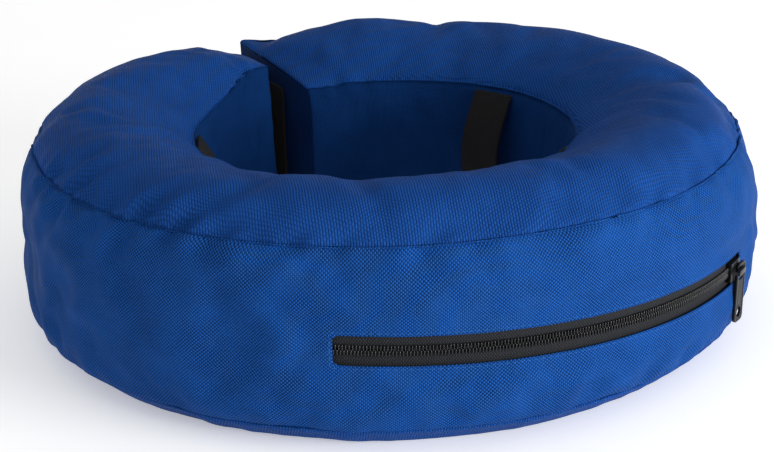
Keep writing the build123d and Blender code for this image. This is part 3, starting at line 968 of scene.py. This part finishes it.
def make_bladder():
    """Film tube inside the cover, with a sunk pocket for the valve."""
    azimuth = columns(BLADDER_STEP)
    left, right = end_distance(azimuth)
    azimuth = azimuth[np.minimum(left, right) > BLADDER_INSET]
    keep = thinned_rows(BLADDER_ROW_STEP)
    radius, height = section(azimuth, BLADDER_INSET)
    radius, height = radius[keep], height[keep]
    across = (azimuth[None, :] - VALVE_AZIMUTH) * radians(1) * OUTER_BULGE
    gap = np.hypot(across, height - VALVE_HEIGHT)
    sunk = (radius > MEAN_RADIUS) & (gap < POCKET_RADIUS + 4)
    depth = np.clip((POCKET_RADIUS + 2 - gap) / 3, 0, 1)
    radius = np.where(sunk, radius + (POCKET_FLOOR - 0.6 - radius) * depth, radius)
    points = to_space(azimuth, radius, height)
    front = int(np.argmin(np.abs(azimuth - ZIP_FRONT)))
    nodes = {-1: ("bladder_left", "bladder_front"), 1: ("bladder_right",)}
    for side, name in ((-1, "bladder_left_half"), (1, "bladder_right_half")):
        picked = slice(0, front + 1) if side < 0 else slice(front, len(azimuth))
        part = points[:, picked]
        rows, cols = part.shape[:2]
        faces = [tuple(q) for q in grid_faces(rows, cols)]
        column = 0 if side < 0 else cols - 1
        end = [r * cols + column for r in range(rows)]
        centre = part[:, column].mean(axis=0)
        vertices = np.vstack([part.reshape(-1, 3), centre])
        for r in range(rows):
            fan = (end[r], end[(r + 1) % rows], rows * cols)
            faces.append(fan if side < 0 else fan[::-1])
        made = mesh_object(name, vertices * MM, faces)
        made.data.materials.append(FILM)
        smooth_shade(made)
        hinge_blend(made, side)
        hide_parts(*nodes[side])


# ---------------------------------------------------------------- webbing loops

WEBBING_WIDTH = 25.0
WEBBING_THICKNESS = 1.6
LOOPS = {
    "front_left": (-127.75, "left", 0.0), "front_right": (-52.25, "right", 0.0),
    "rear_left": (157.0, "left_arm", 3.0), "rear_right": (23.0, "right_arm", 0.0),
}
LOOP_LINE = ((96.6, 89.5), (92.2, 82), (86.2, 71), (83.5, 62), (83.2, 53.6),
             (83.5, 45), (86.2, 30), (92.2, 19), (96.6, 11.5))


def smooth_line(points, count):
    """Even points on a smooth line through the given ones (Catmull-Rom)."""
    p = np.array(points, float)
    p = np.vstack([2 * p[0] - p[1], p, 2 * p[-1] - p[-2]])
    t = np.linspace(0, len(p) - 3 - 1e-9, count)
    i = t.astype(int)
    f = (t - i)[:, None]
    a, b, c, d = p[i], p[i + 1], p[i + 2], p[i + 3]
    return 0.5 * (2 * b + (c - a) * f + (2 * a - 5 * b + 4 * c - d) * f**2
                  + (3 * b - a - 3 * c + d) * f**3)


def make_loop(name, azimuth, holder, shift):
    """Flat webbing, slightly cupped and twisted, with rounded edges."""
    line = smooth_line(LOOP_LINE, 61)
    line[:, 0] += shift
    steps = np.diff(line, axis=0, prepend=line[:1])
    run = np.cumsum(np.hypot(steps[:, 0], steps[:, 1]))
    tangent = np.gradient(line, axis=0)
    tangent /= np.linalg.norm(tangent, axis=1, keepdims=True)
    face = np.stack([tangent[:, 1], -tangent[:, 0]], 1)
    if face[30, 0] < 0:
        face = -face
    half = WEBBING_WIDTH / 2
    widths = np.linspace(-half + 0.5, half - 0.5, 17)
    selvedge = [(half - 0.12, -0.25), (half, -0.8), (half - 0.12, -1.35)]
    front, back = ([(w, depth) for w in widths] for depth in (0.0, -WEBBING_THICKNESS))
    profile = front + selvedge + back[::-1] + [(-w, depth) for w, depth in selvedge[::-1]]
    profile = np.array(profile)
    angle = radians(azimuth)
    outwards = np.array([cos(angle), sin(angle), 0])
    sideways = np.array([-sin(angle), cos(angle), 0])
    up = np.array([0, 0, 1.0])
    rings = []
    for k in range(len(line)):
        share = k / (len(line) - 1)
        free = sin(pi * share)
        cup = 0.012 * free * (profile[:, 0] / half) ** 2 * half
        wave = 0.25 * free * np.sin(0.35 * profile[:, 0] + run[k] / 9 + azimuth)
        out = profile[:, 1] - cup + wave
        drift = 0.5 * free * sin(run[k] / 16 + azimuth)
        flat = line[k][None, :] + face[k][None, :] * out[:, None]
        rings.append(
            flat[:, :1] * outwards + flat[:, 1:] * up + (profile[:, :1] + drift) * sideways
        )
    rings = np.array(rings)
    count, around = rings.shape[:2]
    faces = ring_faces(0, count, around)
    made = mesh_object(f"webbing_loop_{name}", rings.reshape(-1, 3) * MM, faces)
    mesh = made.data
    mesh.materials.append(WEBBING)
    coords = []
    for polygon in mesh.polygons:
        for vertex in polygon.vertices:
            k, j = divmod(vertex, around)
            coords.append((profile[j, 0] * MM, run[k] * MM))
    set_uv(mesh, np.array(coords))
    smooth_shade(made)
    face_outwards(mesh)
    if holder in ("left", "right"):
        hinge_blend(made, -1 if holder == "left" else 1)
    else:
        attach(made, holder)
    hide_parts(f"collar_loop_{name}")


# ---------------------------------------------------------------- zip


def zip_frame(azimuth, radius, height):
    """Point and axes (outwards, anticlockwise, up) at a place on the leaning zip."""
    lean = radians(ZIP_LEAN)
    up = Vector((sin(lean), 0, cos(lean)))
    level = Vector((cos(lean), 0, -sin(lean)))
    out = Matrix.Rotation(radians(azimuth), 3, up) @ level
    along = up.cross(out)
    origin = Vector((0, 0, ZIP_HEIGHT)) + out * radius + up * height
    return origin, out, along, up


TOOTH_REACH = (-0.35, 2.8)
TOOTH_DEPTH, TOOTH_WIDTH = 0.74, 0.29
TOOTH_OFFSET = 0.8


def make_teeth(name, side):
    """One half of the coil: rounded teeth that interlock with the other half's."""
    per_degree = radians(1) * COIL_RADIUS
    count = int(2 * COIL_HALF_ANGLE * per_degree / TOOTH_PITCH)
    rings, around = 7, 8
    vertices, faces = [], []
    for k in range(count):
        shift = 0.5 if side > 0 else 0.0
        azimuth = ZIP_FRONT - COIL_HALF_ANGLE + (k + 0.25 + shift) * TOOTH_PITCH / per_degree
        start = len(vertices)
        for ring in range(rings):
            t = ring / (rings - 1)
            height = side * (TOOTH_REACH[0] + (TOOTH_REACH[1] - TOOTH_REACH[0]) * t)
            swell = (max(0.0, 1 - (2 * t - 1) ** 4)) ** 0.5 * 0.9 + 0.1
            tip = 1.15 if t < 0.3 else 1.0
            origin, out, along, _ = zip_frame(azimuth, COIL_RADIUS + TOOTH_OFFSET, height)
            for j in range(around):
                angle = 2 * pi * j / around
                vertices.append(
                    origin + out * (TOOTH_DEPTH * swell * sin(angle))
                    + along * (TOOTH_WIDTH * tip * swell * cos(angle))
                )
        faces += ring_faces(start, rings, around)
    made = mesh_object(name, np.array(vertices) * MM, faces)
    if side < 0:
        made.data.flip_normals()
    made.data.materials.append(COIL)
    smooth_shade(made)
    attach(made, "front_span")
    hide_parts("zip_coil_upper" if side > 0 else "zip_coil_lower")


def bevelled_copy(node, name, width, material, body):
    """The CAD piece with its sharp edges rounded."""
    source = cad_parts[node]
    made = linked(name, source.data.copy())
    made.matrix_world = source.matrix_world
    bm = bmesh.new()
    bm.from_mesh(made.data)
    bmesh.ops.remove_doubles(bm, verts=bm.verts, dist=0.00002)
    bmesh.ops.dissolve_limit(bm, angle_limit=radians(4), verts=bm.verts, edges=bm.edges)
    bm.to_mesh(made.data)
    bm.free()
    bevel = made.modifiers.new("Bevel", "BEVEL")
    bevel.width = width * MM
    bevel.segments = 3
    bevel.limit_method = "ANGLE"
    bevel.angle_limit = radians(35)
    made.data.materials.clear()
    made.data.materials.append(material)
    smooth_shade(made)
    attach(made, body)
    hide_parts(node)


def rounded(width, height, radius, centre, steps=6):
    """Outline of a rectangle with rounded corners."""
    points = []
    for k, (sx, sy) in enumerate(((1, 1), (-1, 1), (-1, -1), (1, -1))):
        cx = centre[0] + sx * (width / 2 - radius)
        cy = centre[1] + sy * (height / 2 - radius)
        for j in range(steps + 1):
            angle = pi / 2 * (k + j / steps)
            points.append((cx + radius * cos(angle), cy + radius * sin(angle)))
    return points


def flat_piece(name, outlines, thickness, bevel, placed):
    """Plate with holes and rounded edges, standing on the plane of the placed frame."""
    data = bpy.data.curves.new(name, "CURVE")
    data.dimensions = "2D"
    data.fill_mode = "BOTH"
    data.extrude = (thickness / 2 - bevel) * MM
    data.bevel_depth = bevel * MM
    data.bevel_resolution = 2
    data.offset = -bevel * MM
    for outline in outlines:
        spline = data.splines.new("POLY")
        spline.points.add(len(outline) - 1)
        for point, (x, y) in zip(spline.points, outline):
            point.co = (x * MM, y * MM, 0, 1)
        spline.use_cyclic_u = True
    holder = linked(name + "_outline", data)
    bpy.context.view_layer.update()
    evaluated = holder.evaluated_get(bpy.context.evaluated_depsgraph_get())
    mesh = bpy.data.meshes.new_from_object(evaluated)
    bpy.data.objects.remove(holder)
    face_outwards(mesh, weld=0.00001)
    mesh.transform(placed)
    return linked(name, mesh)


PULL_BACK = 192.7
PULL_THICKNESS = 1.6
PULL_SIZE = (9.4, 31.0)
PULL_TOP = 3.3
PULL_TWIST = -6.0
PULL_STANDOFF = 0.1
PULL_RIM = 1.2
EYE_SIZE, EYE_TOP = (5.2, 6.9), 1.3
TAIL_SIZE, TAIL_RIM_SIZE, TAIL_RISE = (4.6, 5.6), (6.2, 7.2), 2.2


def pull_place():
    """The hanging pull is turned a little about its own length."""
    middle = PULL_BACK + PULL_THICKNESS / 2 + PULL_STANDOFF
    origin, out, along, up = zip_frame(POST_AZIMUTH, middle, 0)
    twist = Matrix.Rotation(radians(PULL_TWIST), 3, up)
    out, along = twist @ out, twist @ along
    placed = Matrix((along, up, out)).transposed().to_4x4()
    placed.translation = origin * MM
    return placed


def make_pull():
    """Pull tab: sunk matte face inside a raised rim, with an eye and a tail hole."""
    width, length = PULL_SIZE
    centre = (0, PULL_TOP - length / 2)
    tail_centre = (0, PULL_TOP - length + TAIL_RISE + TAIL_SIZE[1] / 2)
    body = rounded(width, length, 2.6, centre)
    inner = rounded(width - 2 * PULL_RIM, length - 2 * PULL_RIM, 1.5, centre)
    eye = rounded(*EYE_SIZE, 0.9, (0, EYE_TOP - EYE_SIZE[1] / 2))
    tail = rounded(*TAIL_SIZE, 2.29, tail_centre)
    tail_edge = rounded(*TAIL_RIM_SIZE, 3.0, tail_centre)
    for name, outlines, thickness, bevel, material in (
        ("zip_pull_plate", [body, eye, tail], PULL_THICKNESS - 0.5, 0.3, PULL_MATTE),
        ("zip_pull_rim", [body, inner], PULL_THICKNESS, 0.3, ENAMEL),
        ("zip_pull_tail_rim", [tail_edge, tail], PULL_THICKNESS - 0.1, 0.25, ENAMEL),
    ):
        made = flat_piece(name, outlines, thickness, bevel, pull_place())
        made.data.materials.append(material)
        smooth_shade(made)
        made.data.set_sharp_from_angle(angle=radians(40))
        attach(made, "pull")
        if name == "zip_pull_plate":
            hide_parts("zip_pull")


def make_topstitch(points, azimuth):
    """Row of thread round the zip window, lying in the cloth."""
    per_degree = radians(1) * OUTER_BULGE
    start = WINDOW[0] - STITCH_OFFSET / per_degree
    stop = WINDOW[1] + STITCH_OFFSET / per_degree
    wall = np.vstack([points[OUTER_FOOT_ROW:], points[:1]])
    wall_height, wall_radius = wall[..., 2], np.hypot(wall[..., 0], wall[..., 1])
    rise = WINDOW_HEIGHT + 2 * STITCH_OFFSET
    seats = []
    count = int((stop - start) * per_degree / (STITCH_LENGTH + STITCH_GAP))
    for edge in (-0.5, 0.5):
        for k in range(count):
            a = start + (k + 0.5) * (stop - start) / count
            seats.append((a, window_middle(a) + edge * rise, False))
    count = int(rise / (STITCH_LENGTH + STITCH_GAP))
    for a in (start, stop):
        for k in range(count):
            seats.append((a, window_middle(a) + ((k + 0.5) / count - 0.5) * rise, True))
    vertices, faces = [], []
    rings, around = 7, 6
    for a, height, upright in seats:
        column = int(np.argmin(np.abs(azimuth - a)))
        radius = np.interp(height, wall_height[:, column], wall_radius[:, column])
        angle = radians(a)
        out = np.array([cos(angle), sin(angle), 0])
        side = np.array([-sin(angle), cos(angle), 0])
        along = np.array([0, 0, 1.0]) if upright else side
        across = side if upright else np.array([0, 0, 1.0])
        begin = len(vertices)
        for ring in range(rings):
            t = 2 * ring / (rings - 1) - 1
            bulk = max(0.12, 1 - t**4) * THREAD_RADIUS
            centre = out * (radius - 0.05 - 0.22 * t * t) + along * t * STITCH_LENGTH / 2
            centre[2] += height
            for j in range(around):
                turn = 2 * pi * j / around
                vertices.append(centre + out * bulk * sin(turn) + across * bulk * cos(turn))
        faces += ring_faces(begin, rings, around)
    made = mesh_object("zip_topstitch", np.array(vertices) * MM, faces)
    face_outwards(made.data)
    made.data.materials.append(THREAD)
    smooth_shade(made)
    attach(made, "front_span")


def carry_over():
    """Better materials for the CAD pieces that stay as they are."""
    looks = {
        "zip_tape_upper": ZIP_CLOTH, "zip_tape_lower": ZIP_CLOTH,
        "zip_stop_open": PULL_MATTE, "zip_stop_closed": PULL_MATTE,
        "hook_patch": HOOK_TAPE, "loop_patch": LOOP_TAPE,
        "valve_body": CLEAR, "valve_plug": CLEAR,
    }
    for node, material in looks.items():
        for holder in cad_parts[node].material_slots:
            holder.material = material


# ---------------------------------------------------------------- scene


FLOOR_REACH = 30
FLOOR_GLOW = 0.35
FLOOR_DROP = 0.0002
WORLD_LIGHT = 0.62
WHITE = (1, 1, 1, 1)
KEY_AZIMUTH, KEY_ELEVATION, KEY_DISTANCE = radians(30), radians(12), 1.8
KEY_SIZE, KEY_POWER = (1.0, 0.6), 33
KEY_TARGET = Vector((0, 0, 0.05))
CAMERA_AZIMUTH, CAMERA_ELEVATION, CAMERA_ROLL = radians(-27.0), radians(20.51), radians(1.45)
CAMERA_TARGET = Vector((-0.842, 0.429, 37.96)) * MM
CAMERA_DISTANCE = 0.8956
CAMERA_LENS, CAMERA_SENSOR = 77.3, 36.0


def direction(azimuth, elevation):
    """Unit vector from the collar; azimuth 0 is in front of it."""
    level = cos(elevation)
    return Vector((sin(azimuth) * level, -cos(azimuth) * level, sin(elevation)))


def make_key_light():
    data = bpy.data.lights.new("key", "AREA")
    data.shape = "RECTANGLE"
    data.size, data.size_y = KEY_SIZE
    data.energy = KEY_POWER
    lamp = linked("key", data)
    lamp.location = direction(KEY_AZIMUTH, KEY_ELEVATION) * KEY_DISTANCE
    lamp.rotation_euler = (KEY_TARGET - lamp.location).to_track_quat("-Z", "Y").to_euler()


def make_stage():
    """Bright paper floor under an even white world."""
    s = Shader("floor_paper", 0.9, 0.1, Emission_Color=WHITE, Emission_Strength=FLOOR_GLOW)
    s.colour(s.mix(s.noise(s.place(), 6), (0.9, 0.9, 0.9), (0.93, 0.93, 0.93)))
    square = ((-1, -1), (1, -1), (1, 1), (-1, 1))
    sheet = [(x * FLOOR_REACH, y * FLOOR_REACH, 0) for x, y in square]
    floor = mesh_object("floor", sheet, [(0, 1, 2, 3)])
    floor.data.materials.append(s.material)
    floor.location.z = -FLOOR_DROP
    world = bpy.data.worlds.new("studio")
    world.use_nodes = True
    background = world.node_tree.nodes["Background"].inputs
    background[0].default_value = WHITE
    background[1].default_value = WORLD_LIGHT
    bpy.context.scene.world = world
    make_key_light()


def make_camera():
    """Camera that was solved from the photo."""
    back = direction(CAMERA_AZIMUTH, CAMERA_ELEVATION)
    right = Vector((cos(CAMERA_AZIMUTH), sin(CAMERA_AZIMUTH), 0))
    up = back.cross(right)
    rolled_right = right * cos(CAMERA_ROLL) - up * sin(CAMERA_ROLL)
    rolled_up = up * cos(CAMERA_ROLL) + right * sin(CAMERA_ROLL)
    data = bpy.data.cameras.new("camera")
    data.sensor_width = CAMERA_SENSOR
    data.lens = CAMERA_LENS
    camera = linked("camera", data)
    placed = Matrix((rolled_right, rolled_up, back)).transposed().to_4x4()
    placed.translation = CAMERA_TARGET + back * CAMERA_DISTANCE
    camera.matrix_world = placed
    bpy.context.scene.camera = camera


make_camera()
make_stage()
cover_points, cover_azimuth = make_cover()
make_bladder()
for loop_name, (loop_azimuth, loop_holder, loop_shift) in LOOPS.items():
    make_loop(loop_name, loop_azimuth, loop_holder, loop_shift)
make_teeth("zip_teeth_upper", 1)
make_teeth("zip_teeth_lower", -1)
bevelled_copy("zip_slider", "zip_slider_enamel", 0.3, ENAMEL, "slider")
make_pull()
make_topstitch(cover_points, cover_azimuth)
carry_over()
bpy.context.scene.view_settings.view_transform = "Standard"

bpy.context.view_layer.update()
